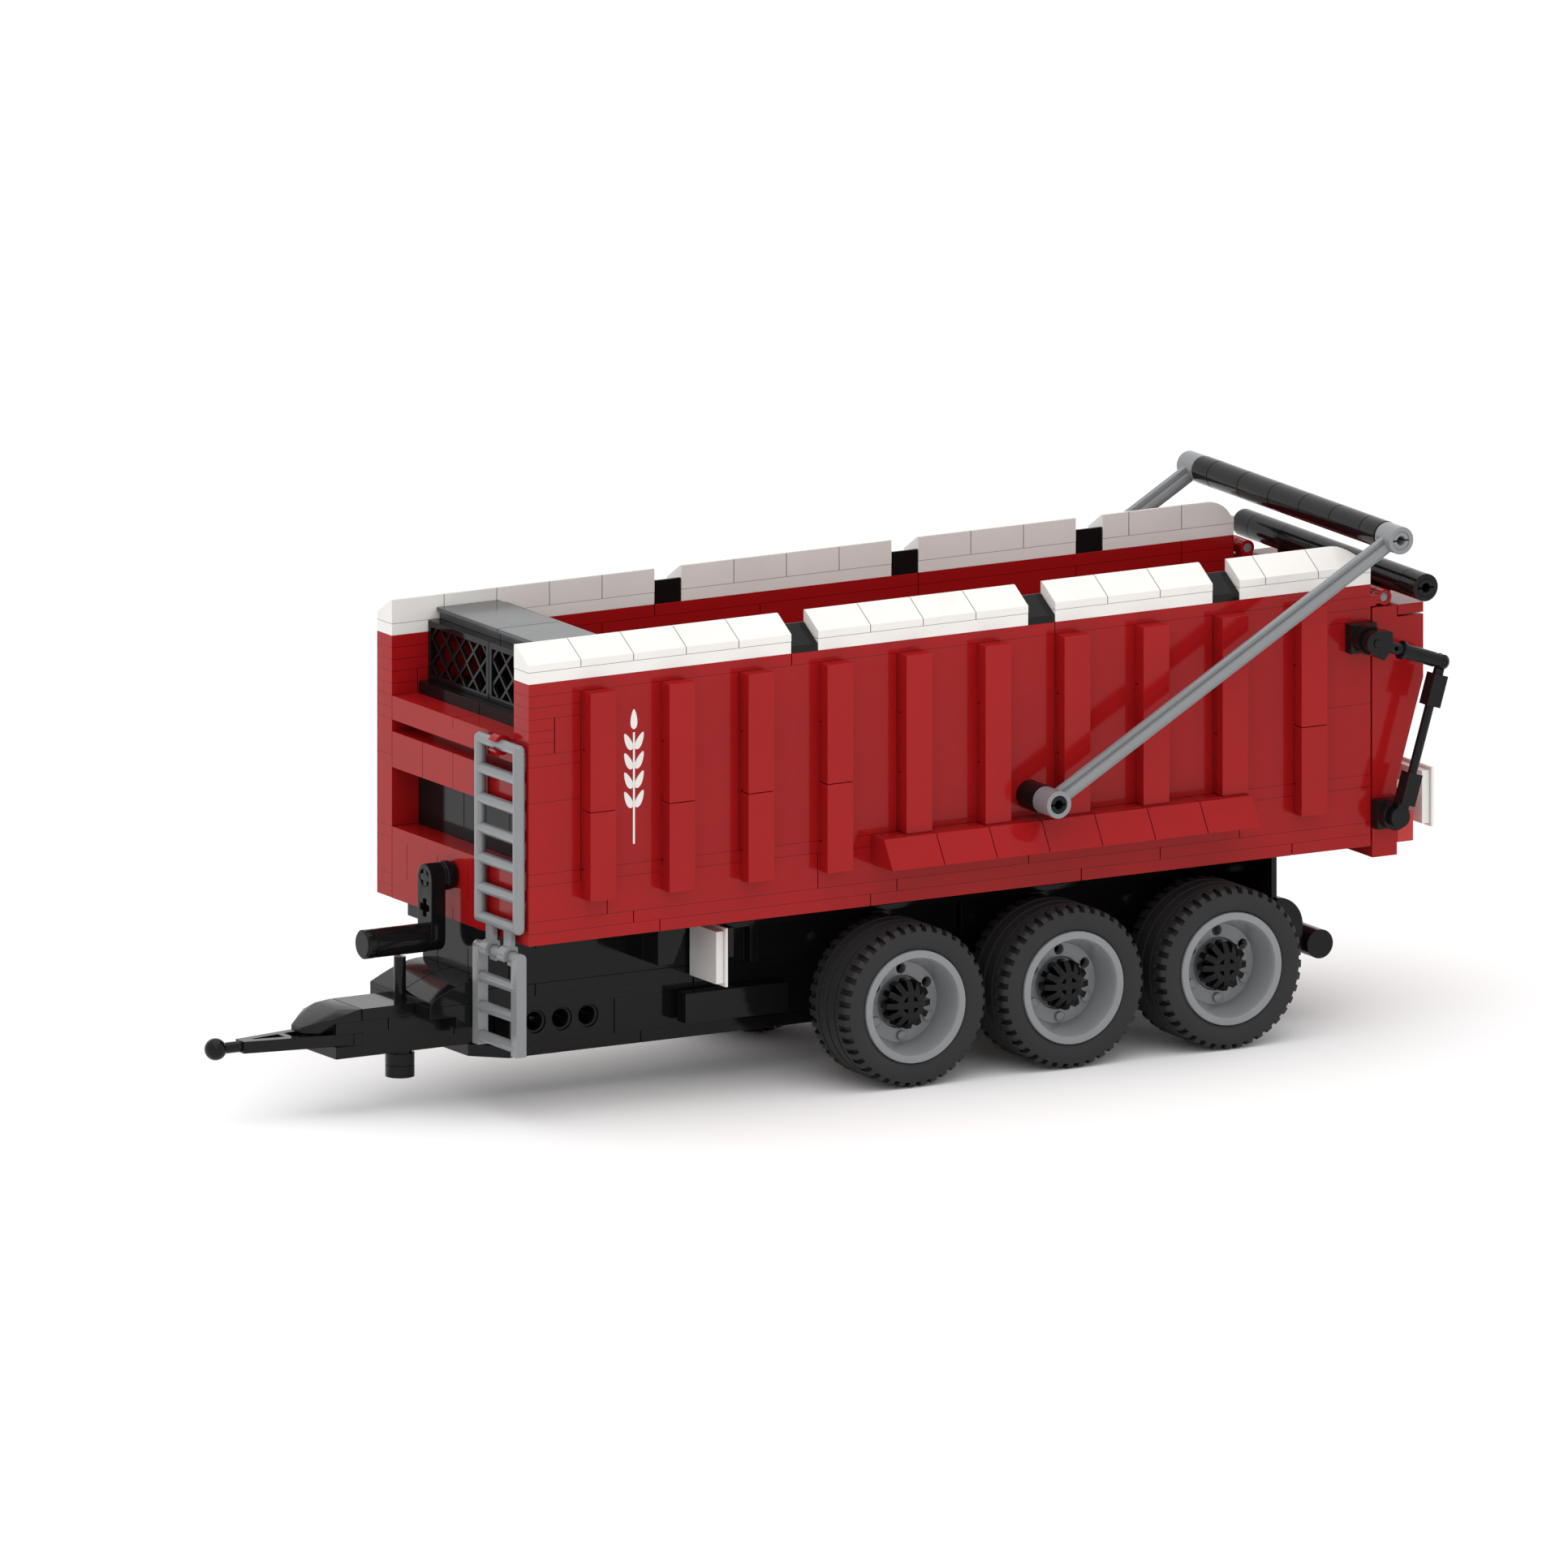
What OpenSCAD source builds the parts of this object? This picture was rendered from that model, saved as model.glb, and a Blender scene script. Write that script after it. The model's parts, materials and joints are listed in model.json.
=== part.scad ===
// Tri-axle grain cart as a clamp-brick model: a ribbed tub on a spine chassis, with a cover bow,
// a hinged tailgate on two folding rams, a drop-down ladder, a floor crank and a jack leg.
// +X points forwards to the tow ball, +Y to the left, +Z up. The wheels stand on Z = 0.
// Inside the modules, "u" is the distance rearwards from the front wall's outer face.

/* [Brick system] */
// Stud pitch: the width of a one-stud brick
stud = 8; // [7.8:0.1:8.4]
// Height of one plate; a brick is three plates
plate = 3.2; // [3.1:0.05:3.4]
// Gap left on each side of a brick
seam = 0.1; // [0.05:0.01:0.15]
// Thickness of a bracket's upright leaf
leaf = 1.6; // [1.4:0.1:1.8]
// Height of a pin hole above its brick's bottom
hole_up = 5.8; // [5.6:0.1:6]
// Radius of a pin hole
hole_r = 2.45; // [2.42:0.01:2.48]
// Depth of the sunk ring round a pin hole
sink = 0.8; // [0.6:0.1:1]
// Radius over the ribs of a cross axle
axle_r = 2.38; // [2.35:0.01:2.39]
// Thickness of one arm of the axle's cross
axle_arm = 1.8; // [1.6:0.1:2]
// Radius of tubes, bushes and liftarm ends
tube_r = 3.7; // [3.5:0.1:3.9]
// Radius of a round bar
bar_r = 1.6; // [1.5:0.1:1.7]

/* [Tub] */
// Length of the side walls, in studs
body_studs = 32; // [26:1:40]
// Width over the side walls, in studs
body_wide = 10; // [8:2:12]
// Height of the walls, in plates
wall_rows = 22; // [19:1:28]
// Pitch of the wall ribs, in studs
rib_pitch = 3; // [3:1:4]
// Width of a rib
rib_w = 8; // [6:0.5:8]
// Depth of the closed front box behind the front wall, in studs
front_box = 3; // [2:1:4]
// Height of the lattice above the front box base
lattice_h = 16; // [12:1:18]
// Height of a rim slope at its outer lip
slope_lip = 2; // [1.5:0.1:2.6]

/* [Tailgate] */
// Depth of the tailgate at its top, in studs
gate_studs = 2; // [2:1:2]
// Running gap between the tailgate and the tub
gate_gap = 0.35; // [0.3:0.05:0.6]
// Distance of the hinge axis behind the walls
hinge_back = 4.2; // [4:0.1:4.6]
// Radius of the hinge barrels
hinge_r = 2.1; // [1.9:0.1:2.2]

/* [Running gear] */
// Tyre diameter
tyre_d = 43.2; // [36:0.1:56]
// Tyre width
tyre_w = 20.4; // [16:0.1:22]
// Rim diameter, where the tyre's bead sits
rim_d = 30.4; // [26:0.1:32]
// Rim width
rim_w = 20; // [16:0.1:22]
// Number of axles
axles = 3; // [2:1:3]
// Distance of the wheel's mid plane outside the chassis centre, in studs
track_half = 5; // [4:1:6]
// Least space between two tyres
tyre_gap = 4; // [3:0.5:8]

/* [Cover bow] */
// Length of a bow arm between its two connectors' axes, in studs
bow_studs = 15; // [13:1:17]
// Angle of the resting bow above the horizontal
bow_rest = 30; // [28:1:34]

/* [Drawbar and front gear] */
// Reach of the tow ball in front of the wall
ball_reach = 72; // [68:1:84]
// Tow ball diameter
ball_d = 5.9; // [5.5:0.1:6.4]
// Ladder width over its stiles
ladder_w = 23.4; // [21:0.1:24]
// Pitch of the ladder rungs
rung = 8; // [7:0.5:9]
// Length of the crank handle
handle_l = 19; // [15:0.5:20]
// Travel of the jack leg below its stowed place
jack_drop = 7; // [4:0.5:7]

/* [Hidden] */
$fn = 48;

brick = 3 * plate;
tube_bore = hole_r;
half_w = body_wide * stud / 2;
body_l = body_studs * stud;
tyre_r = tyre_d / 2;
axle_z = tyre_r;
// Plates between the pin-hole bricks of the axles and the tub, so that the tyres clear the tub
drop_rows = max(7, ceil((tyre_r + 4 - (brick - hole_up)) / plate));
hole_brick = axle_z - hole_up;
tub_z = hole_brick + brick + drop_rows * plate;
top_z = tub_z + wall_rows * plate;
spine_z = hole_brick - plate;
axle_pitch = stud * ceil((tyre_d + tyre_gap) / stud);
axle_last = body_l - 6 * stud;
chassis_half = 2 * stud;
wheel_y = track_half * stud;

// Rows of the tub
panel_bottom = wall_rows - 6;
skirt_top = row_z(panel_bottom);
pivot_z = row_z(panel_bottom) + hole_up;
pivot_u = body_l - 13 * stud;
crank_z = tub_z + 2 * plate + hole_up;
sill_row = wall_rows - 5;
ribs = floor((body_studs - 3) / rib_pitch) + 1;
skirt_units = 7;
skirt_from = pivot_u - 6 * stud;

// Tailgate and its rams
hinge_u = body_l + hinge_back;
hinge_z = top_z - 4;
gate_top = top_z - 2 * plate;
gate_face = body_l + gate_gap;
ram_u1 = body_l - stud / 2;
ram_z1 = top_z - 13.6;
ram_u2 = body_l + stud / 2;
ram_z2 = top_z - wall_rows * plate + 8.8;
elbow_u = body_l + 16.2;
elbow_z = top_z - 20.9;
ram_y = half_w + 8.6;
rod_r = 2;
ball = 2.3;
roller_u = body_l + 12.1;
roller_z = top_z - 0.8;

// Overall length, which puts the origin at the middle of the part
rear_reach = max(body_l + gate_studs * stud + plate - 0.1, elbow_u + ball);
front_reach = ball_reach + ball_d / 2;
x_front = (rear_reach - front_reach) / 2;

red = "#a62a2c";
black = "#232323";
white = "#eeece8";
grey = "#85888a";

function row_z(r) = top_z - r * plate;
function cuts(from, to, run, shift) = concat([from],
  [for (k = [0 : ceil((to - from) / run)])
    let (s = from + shift + k * run) if (s > from + 0.01 && s < to - 0.01) s],
  [to]);

// A box from its spans rearwards, sideways and in height
module block(u, y, z)
  translate([x_front - u[1], y[0], z[0]]) cube([u[1] - u[0], y[1] - y[0], z[1] - z[0]]);
// A brick: the box less its seams
module brick_at(u, y, z)
  block([u[0] + seam, u[1] - seam], [y[0] + seam, y[1] - seam], z);
// A course of bricks "run" studs long along the wall, in rows r0 to r1
module course(r0, r1, from, to, run, shift, y) {
  c = cuts(from, to, run, shift);
  for (i = [0 : len(c) - 2])
    brick_at([c[i] * stud, c[i + 1] * stud], y, [row_z(r1), row_z(r0)]);
}
// A course of bricks across the tub
module cross_course(u, from, to, run, shift, z) {
  c = cuts(from, to, run, shift);
  for (i = [0 : len(c) - 2])
    brick_at(u, [c[i] * stud - half_w, c[i + 1] * stud - half_w], z);
}
// A cylinder along Y, from y0 to y1
module rod_y(u, z, y0, y1, r)
  translate([x_front - u, y0, z]) rotate([-90, 0, 0]) cylinder(h = y1 - y0, r = r);
// A cylinder along the length, from u0 to u1
module rod_u(u0, u1, y, z, r)
  translate([x_front - u1, y, z]) rotate([0, 90, 0]) cylinder(h = u1 - u0, r = r);
module rod_z(u, y, z0, z1, r)
  translate([x_front - u, y, z0]) cylinder(h = z1 - z0, r = r);
module tube_y(u, z, y0, y1, r, bore)
  difference() {
    rod_y(u, z, y0, y1, r);
    rod_y(u, z, y0 - 1, y1 + 1, bore);
  }
// A cross axle along +Z
module cross_axle(l)
  intersection() {
    cylinder(h = l, r = axle_r);
    union() {
      translate([-axle_r, -axle_arm / 2, 0]) cube([2 * axle_r, axle_arm, l]);
      translate([-axle_arm / 2, -axle_r, 0]) cube([axle_arm, 2 * axle_r, l]);
    }
  }
module both_sides() {
  children();
  mirror([0, 1, 0]) children();
}
// A prism across the part from a side outline of [u, z] points
module side_prism(points, y)
  translate([0, y[1], 0]) rotate([90, 0, 0]) linear_extrude(y[1] - y[0])
    polygon([for (p = points) [x_front - p[0], p[1]]]);
// A prism along the part from an end outline of [y, z] points
module end_prism(points, u)
  translate([x_front - u[1], 0, 0]) rotate([90, 0, 90]) linear_extrude(u[1] - u[0])
    polygon(points);

// ---- Chassis ----

upper_end = 26 * stud;
channel = 4.4;
module spine_upper() {
  y = [-chassis_half, chassis_half];
  color(black) {
    // Wide plates under the tub, then narrow plates, then smooth bricks
    for (c = [[0, 8], [8, 16], [16, upper_end / stud]])
      brick_at(c * stud, [-3 * stud, 3 * stud], [tub_z - plate, tub_z]);
    for (c = [[0, 2], [2, 12], [12, upper_end / stud]])
      brick_at(c * stud, y, [tub_z - 2 * plate, tub_z - plate]);
    for (c = [[0, 1], [1, 11], [11, 16], [16, 24], [24, upper_end / stud]]) for (side = [-1, 0, 1])
      brick_at(c * stud, side == 0 ? [-stud, stud]
        : side < 0 ? [-chassis_half, -stud] : [stud, chassis_half],
        [tub_z - 2 * plate - brick, tub_z - 2 * plate]);
  }
}
// Long channels on the spine's sides above the axles, with a small hanger beside each wheel
module side_channels() {
  z = [tub_z - 2 * plate - brick, tub_z - plate - 1.7];
  y = [chassis_half + seam, chassis_half + channel];
  start = axle_last - (axles - 1) * axle_pitch - 6 * stud;
  c = concat([start + 3.2], [for (k = [0 : axles - 1]) start + (2 + 8 * k) * stud],
    [upper_end + 0.5 * stud]);
  color(black) both_sides() {
    for (i = [0 : len(c) - 2]) if (c[i] < upper_end) {
      u = [c[i] + seam, min(c[i + 1], upper_end + 0.5 * stud) - seam];
      difference() {
        block(u, y, z);
        block(u + [1.2, -1.2], [y[0] + 1, y[1] + 1], [z[0] - 1, z[1] - 1.5]);
      }
    }
    for (k = [0 : axles - 2]) {
      u = axle_last - (axles - 1 - k) * axle_pitch + 5.7;
      side_prism([[u - 2.6, z[1] - 1.55], [u - 1.2, z[1] - 3.7], [u + 1.2, z[1] - 3.7],
        [u + 2.6, z[1] - 1.55]], [y[1] - 1.2, y[1]]);
    }
  }
}

module axle_holes() {
  for (k = [0 : axles - 1])
    rod_y(axle_last - k * axle_pitch, axle_z, -chassis_half - 1, chassis_half + 1, hole_r);
  for (s = [2, 3, 4]) {
    rod_y(s * stud, axle_z, -chassis_half - 1, chassis_half + 1, hole_r);
    rod_y(s * stud, axle_z, chassis_half - seam - sink, chassis_half + 1, hole_r + 0.7);
  }
}
spine_end = body_l - 3 * stud;
module spine_lower() {
  y = [-chassis_half, chassis_half];
  z1 = hole_brick + brick;
  color(black) {
    for (r = [0 : drop_rows - 6]) {
      c = cuts(0, spine_end / stud, 12, r == 0 ? 8 : 2);
      for (i = [0 : len(c) - 2])
        brick_at([c[i], c[i + 1]] * stud, y, [z1 + r * plate, z1 + (r + 1) * plate]);
    }
    // Two rails of pin-hole bricks
    c = cuts(1, spine_end / stud, 8, 4);
    both_sides() difference() {
      for (i = [0 : len(c) - 2])
        brick_at([c[i], c[i + 1]] * stud, [stud, chassis_half], [hole_brick, z1]);
      axle_holes();
    }
    // Bottom plates, the first with a chamfered nose
    for (c = [[6, 14], [14, spine_end / stud]]) brick_at(c * stud, y, [spine_z, hole_brick]);
    intersection() {
      brick_at([0, 6 * stud], y, [spine_z, hole_brick]);
      translate([x_front - 6 * stud, 0, spine_z]) linear_extrude(plate)
        polygon([[0, -chassis_half], [5 * stud, -chassis_half], [6 * stud, -stud],
          [6 * stud, stud], [5 * stud, chassis_half], [0, chassis_half]]);
    }
  }
}

guard_u = body_l - 3 * stud;
guard_top = tub_z - 4 * plate;
module mudguard_rear() {
  y = [-4 * stud + seam, 4 * stud - seam];
  color(black) {
    // Cross panel behind the wheels
    for (c = [[-4, -1], [-1, 1], [1, 4]])
      block([guard_u - leaf, guard_u - 0.02], c * stud + [seam, -seam], [guard_top, tub_z - 0.02]);
    block([guard_u + seam, guard_u + leaf], [-stud, stud], [guard_top, tub_z - 0.02]);
    // Quarter-round guard
    intersection() {
      block([guard_u, guard_u + stud], y, [guard_top - stud, guard_top]);
      rod_y(guard_u, guard_top - stud, y[0] - 1, y[1] + 1, stud - seam);
    }
    block([guard_u, guard_u + stud - seam], y, [guard_top - stud - 2 * plate, guard_top - stud]);
    block([guard_u + seam, guard_u + stud - 2 * seam], [y[0] + stud, y[1] - stud],
      [spine_z, guard_top - stud - 2 * plate]);
  }
}
module bumper_bar() {
  u = guard_u + 1.5 * stud;
  color(black) {
    for (c = [[-34, -16], [-16, 0], [0, 16], [16, 34]])
      rod_y(u, axle_z, c[0] + seam, c[1] - seam, stud / 2 - seam);
  }
}
module side_rails() {
  u0 = 58;
  u1 = axle_last - (axles - 1) * axle_pitch - tyre_r - 1.2;
  color(black) both_sides() {
    block([u0, u1], [chassis_half + leaf, chassis_half + leaf + 4.6], [axle_z - 3.9, axle_z + 4.1]);
    block([u0 + leaf, u1 - leaf], [chassis_half + seam, chassis_half + leaf], [axle_z - 3, axle_z + 3]);
  }
}
hanger_u = 5.5 * stud;
module marker_brackets() {
  drop = plate + stud;
  color(black) both_sides() {
    side_prism([[hanger_u, tub_z], [hanger_u, tub_z - drop], [hanger_u + 4.6, tub_z - drop],
      [hanger_u + 6.6, tub_z - drop + 4], [hanger_u + 8, tub_z - drop + 8], [hanger_u + 8.4, tub_z - plate],
      [hanger_u + 8.4, tub_z]], [3 * stud + seam, 4 * stud]);
    block([hanger_u, hanger_u + 4.6], [chassis_half + seam, 3 * stud], [tub_z - drop, tub_z - plate]);
    // Bracket behind the marker tile
    block([hanger_u + 21.4, hanger_u + 23], [chassis_half + seam, 4 * stud - seam],
      [tub_z - plate - stud, tub_z - plate - 0.05]);
  }
}
module marker_tile(u, y, z)
  color(white) {
    block([u + seam, u + plate - leaf / 2], [y[0] + 0.9, y[1] - 0.9], z + [0.9, -0.9]);
    block([u + plate - leaf / 2, u + plate], y, z);
  }
module front_markers()
  both_sides() marker_tile(hanger_u + 18.1, [2 * stud + seam, 4 * stud - seam],
    [tub_z - plate - 2 * stud, tub_z - plate - 0.1]);

// ---- Drawbar ----

draw_z = hole_brick;
module drawbar_plates()
  color(black) {
    y = [-stud, stud];
    difference() {
      union() {
        brick_at([-40, 0], y, [draw_z, draw_z + plate]);
        brick_at([-32, -4], y, [draw_z + plate, draw_z + 2 * plate]);
        brick_at([-40, -24], y, [draw_z + 2 * plate, draw_z + 3 * plate]);
        brick_at([-24, 8], y, [draw_z + 2 * plate, draw_z + 3 * plate]);
      }
      rod_z(-2 * stud, 0, draw_z - 1, draw_z + 4 * plate, bar_r + 0.06);
    }
    brick_at([-4, 8], y, [draw_z, draw_z + 2 * plate]);
    both_sides() brick_at([-8, 0], [stud, 2 * stud], [draw_z + 2 * plate, draw_z + 3 * plate]);
    difference() {
      brick_at([-2 * stud, 0], [-chassis_half, chassis_half], [draw_z + 3 * plate, draw_z + 4 * plate]);
      rod_z(-2 * stud, 0, draw_z, draw_z + 9 * plate, bar_r + 0.06);
    }
  }
frame_tip = 64.6;
module drawbar_frame() {
  z0 = draw_z + plate;
  color(black) {
    both_sides() translate([x_front, 0, z0]) linear_extrude(plate)
      polygon([[frame_tip, 0], [frame_tip, 2.2], [32, 8], [32, 5.6], [frame_tip - 4, 0.4], [frame_tip - 4, 0]]);
    block([-34.4, -32.1], [-7.9, 7.9], [z0, z0 + plate]);
    block([-52, -50], [-4.2, 4.2], [z0, z0 + plate]);
    rod_u(-ball_reach + 2, -frame_tip + 0.5, 0, z0 + plate / 2, 1.5);
  }
}
module tow_ball()
  color(black) translate([x_front + ball_reach, 0, draw_z + 1.5 * plate]) difference() {
    sphere(d = ball_d, $fn = 48);
    rotate([0, -90, 0]) cylinder(h = 6, r = 1.54);
  }
module drawbar_nose() {
  z0 = draw_z + 2 * plate;
  color(black) difference() {
    hull() {
      translate([x_front + 46, -2.4, z0 + 0.6]) cube([1.6, 4.8, 1.4]);
      translate([x_front + 43, -5.6, z0 + 0.6]) cube([0.6, 11.2, 3]);
      translate([x_front + 40.1, -7.9, z0 + plate]) cube([0.6, 15.8, 1.4]);
      translate([x_front + 32.2, -7.9, z0 + plate]) cube([0.6, 15.8, plate]);
      translate([x_front + 38, -5.6, z0 + plate]) cube([0.6, 11.2, plate]);
    }
    block([-40.1, -30], [-9, 9], [z0 - 1, z0 + plate + 0.02]);
  }
  color(black) difference() {
    brick_at([-32, -2 * stud], [-stud, stud], [z0 + plate, z0 + 2 * plate]);
    rod_z(-2 * stud, 0, z0, z0 + 9 * plate, bar_r + 0.06);
  }
}
// Side outline of a curved slope from its front lip up to its rear edge
function arc_slope(u0, u1, z0, lip, h, n = 8) = concat([[u0, z0], [u0, z0 + lip]],
  [for (i = [1 : n]) let (t = i / n) [u0 + (u1 - u0) * t, z0 + lip + (h - lip) * sin(90 * t)]],
  [[u1, z0]]);
module drawbar_slopes() {
  z0 = draw_z + 4 * plate;
  color(black) difference() {
    both_sides() side_prism(arc_slope(-2 * stud + seam, -seam, z0, 1.4, 2 * plate),
      [seam, chassis_half - seam]);
    rod_z(-2 * stud, 0, z0 - 1, z0 + 9 * plate, bar_r + 0.06);
  }
}
jack_low = spine_z - 5;
module jack_leg()
  color(black) {
    rod_z(-2 * stud, 0, jack_low + 4, crank_z - 2 * stud - 4.3, bar_r);
    difference() {
      union() {
        rod_z(-2 * stud, 0, jack_low, jack_low + plate - 0.15, 3.9);
        rod_z(-2 * stud, 0, jack_low + plate - 0.15, jack_low + plate + 0.15, 3.5);
        rod_z(-2 * stud, 0, jack_low + plate + 0.15, jack_low + 2 * plate, 3.9);
        rod_z(-2 * stud, 0, jack_low + 2 * plate, draw_z - 0.3, 3.3);
      }
      rod_z(-2 * stud, 0, jack_low + 4 - 0.02, draw_z + 1, bar_r + 0.04);
    }
  }

// ---- Tub ----

module floor_plates()
  color(red) for (k = [1 : 4 : body_studs - 1])
    brick_at([k, min(k + 4, body_studs)] * stud, [-half_w + stud, half_w - stud],
      [tub_z, tub_z + plate]);

barrel_y = [half_w - 3.8, half_w - seam];
module hinge_plate(y) {
  z = [row_z(2), row_z(1)];
  brick_at([body_studs - 2, body_studs] * stud, y, z);
  block([body_l - seam, body_l + hinge_back - 2.6], [y[0] + 4.2, y[1] - seam], [z[0] + 0.4, z[1]]);
}
module side_wall() {
  y = [half_w - stud, half_w];
  n = body_studs;
  course(0, 1, 0, n, 10, 0, y);
  course(1, 2, 0, 2, 2, 0, y);
  course(2, 3, 0, 2, 2, 0, y);
  for (r = [3 : 5]) course(r, r + 1, 0, 1, 1, 0, y);
  course(3, 6, 1, 2, 1, 0, y);
  course(6, 7, 0, 2, 2, 0, y);
  course(7, 10, 0, 2, 2, 0, y);
  course(10, panel_bottom, 0, 2, 2, 0, y);
  // Smooth panels between the ribs, with the bow's pivot hole
  difference() {
    course(1, panel_bottom, 2, n - 2, 2 * rib_pitch, 0, y);
    rod_y(pivot_u, pivot_z, half_w - stud - 1, half_w + 1, hole_r);
  }
  difference() {
    union() {
      hinge_plate(y);
      rod_y(hinge_u, hinge_z, barrel_y[0], barrel_y[1], hinge_r);
      block([body_l + hinge_back - 2.7, body_l + hinge_back - 0.9], barrel_y, [hinge_z - 1.5, hinge_z + 0.8]);
    }
    rod_y(hinge_u, hinge_z, barrel_y[0] - 1, barrel_y[1] + 1, 1.25);
  }
  course(2, 3, n - 2, n, 2, 0, y);
  course(3, 10, n - 2, n, 2, 0, y);
  course(10, panel_bottom, n - 2, n, 2, 0, y);
  b = panel_bottom;
  course(b, b + 1, 0, n, 12, 2, y);
  course(b + 1, b + 4, 0, n, 8, 3, y);
  course(b + 4, b + 5, 0, n, 10, 4, y);
  course(b + 5, b + 6, 0, n, 8, 5, y);
}
module wall_left() color(red) side_wall();
module wall_right() color(red) mirror([0, 1, 0]) side_wall();

module front_wall() {
  u = [0, stud];
  inner = [1, body_wide - 1];
  color(red) {
    // Ledge tile and the plate under it, then the header over the window
    cross_course([0, stud], inner[0], inner[1], 4, 0, [row_z(6), row_z(5)]);
    cross_course(u, inner[0], inner[1], 7, 0, [row_z(7), row_z(6)]);
    block([stud - 1.6, stud - seam], [-half_w + stud + seam, half_w - stud - seam], [row_z(8), row_z(7)]);
    cross_course(u, inner[0], inner[1], 2, 0, [row_z(11), row_z(8)]);
    // Sill, crank brick and lower plates
    cross_course(u, inner[0], inner[1], 8, 0, [row_z(sill_row), row_z(sill_row - 1)]);
    difference() {
      cross_course(u, inner[0], inner[1], 2, 1, [row_z(sill_row + 3), row_z(sill_row)]);
      rod_u(-1, stud + 1, 0, crank_z, hole_r);
    }
    cross_course(u, inner[0], inner[1], 4, 2, [row_z(sill_row + 4), row_z(sill_row + 3)]);
    cross_course(u, inner[0], inner[1], 4, 0, [row_z(sill_row + 5), row_z(sill_row + 4)]);
    // Clip that holds the ladder's top rung
    translate([x_front + ladder_out, half_w - 1.5 * stud - 1.7, rung_top]) rotate([-90, 0, 0])
      clip(3.4, 2.7);
    block([-0.3, -0.02], [half_w - 1.5 * stud - 1.7, half_w - 1.5 * stud + 1.7],
      [rung_top - 2.2, rung_top + 2.2]);
  }
}
// An open clip round a bar along +Z, its mouth towards +X
module clip(h, r)
  difference() {
    cylinder(h = h, r = r);
    translate([0, 0, -1]) cylinder(h = h + 2, r = bar_r + 0.05);
    translate([0, -1.15, -1]) cube([r + 1, 2.3, h + 2]);
  }

module front_liner() {
  u = [stud, 2 * stud];
  color(black) difference() {
    union() {
      cross_course(u, 1, body_wide - 1, 2, 1, [row_z(10), row_z(5)]);
      cross_course(u, 1, body_wide - 1, 3, 0, [row_z(15), row_z(10)]);
      cross_course(u, 1, body_wide - 1, 4, 0, [row_z(sill_row), row_z(15)]);
      cross_course(u, 1, body_wide - 1, 4, 2, [tub_z + plate, row_z(sill_row)]);
    }
    rod_u(0, 3 * stud, 0, crank_z, hole_r);
  }
}

module ribs_side() {
  w = (stud - rib_w) / 2 + seam;
  for (k = [0 : ribs - 1]) {
    u = [(2 + k * rib_pitch) * stud + w, (3 + k * rib_pitch) * stud - w];
    on_skirt = u[1] > skirt_from && u[0] < skirt_from + skirt_units * 2 * stud;
    z1 = row_z(1);
    z0 = on_skirt ? skirt_top : skirt_top - stud;
    // Bracket leaves, in units of two studs, then the tiles on them
    n = floor((z1 - z0) / (2 * stud));
    for (i = [0 : n])
      if (z1 - i * 2 * stud - z0 > 1)
        block(u + [0.2, -0.2], [half_w + 0.02, half_w + leaf],
          [max(z0, z1 - (i + 1) * 2 * stud + 0.3), z1 - i * 2 * stud]);
    split = on_skirt ? z0 : z1 - 4 * stud;
    if (split > z0 + 1) block(u, [half_w + leaf, half_w + leaf + plate], [z0, split - seam]);
    block(u, [half_w + leaf, half_w + leaf + plate], [split + seam, z1]);
  }
}
module ribs_left() color(red) ribs_side();
module ribs_right() color(red) mirror([0, 1, 0]) ribs_side();

module skirt_side() {
  z0 = skirt_top - stud;
  y0 = half_w + 0.02;
  for (k = [0 : skirt_units - 1]) {
    u = [skirt_from + k * 2 * stud, skirt_from + (k + 1) * 2 * stud];
    block(u + [seam, -seam], [y0, half_w + leaf], [z0, skirt_top]);
    block(u + [seam, -seam], [half_w + leaf, half_w + leaf + plate], [z0, skirt_top]);
    yb = half_w + leaf + plate;
    end_prism([[yb, z0 + seam], [yb + 2 * plate, z0 + seam], [yb + 2 * plate, z0 + 0.6],
      [yb + slope_lip, skirt_top - seam], [yb, skirt_top - seam]], u + [seam, -seam]);
  }
}
module skirt_left() color(red) skirt_side();
module skirt_right() color(red) mirror([0, 1, 0]) skirt_side();

// ---- Rim ----

// The white groups of the rim, as [first stud, last stud]
groups = [[0, 10], [11, 19], [20, body_studs - 6], [body_studs - 5, body_studs]];
gaps = [10, 19, body_studs - 6];
slope_h = 2 * plate;
function slope_outline(z) = [[half_w - seam, z], [half_w - seam, z + slope_lip],
  [half_w - stud + 0.8, z + slope_h], [half_w - stud + seam, z + slope_h], [half_w - stud + seam, z]];
module rim_plates()
  color(white) both_sides() for (g = groups)
    brick_at(g * stud, [half_w - stud, half_w], [top_z, top_z + plate]);
module rim_slopes()
  color(white) both_sides() for (g = groups) {
    odd = (g[1] - g[0]) % 2;
    c = cuts(g[0], g[1], 2, odd == 1 ? 1 : 0);
    for (i = [0 : len(c) - 2]) {
      u = [c[i], c[i + 1]] * stud + [seam, -seam];
      if (c[i + 1] < body_studs) end_prism(slope_outline(top_z + plate), u);
      else intersection() {
        end_prism(slope_outline(top_z + plate), u);
        // The last slope falls away in a quarter round
        union() {
          block([u[0] - 1, u[1] - stud], [0, half_w], [top_z, top_z + 3 * plate]);
          translate([x_front - u[1] + stud, 0, top_z + 3 * plate - stud]) rotate([-90, 0, 0])
            cylinder(h = half_w, r = stud);
          block([u[0], u[1]], [0, half_w], [top_z, top_z + 1.6 * plate]);
        }
      }
    }
  }
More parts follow.
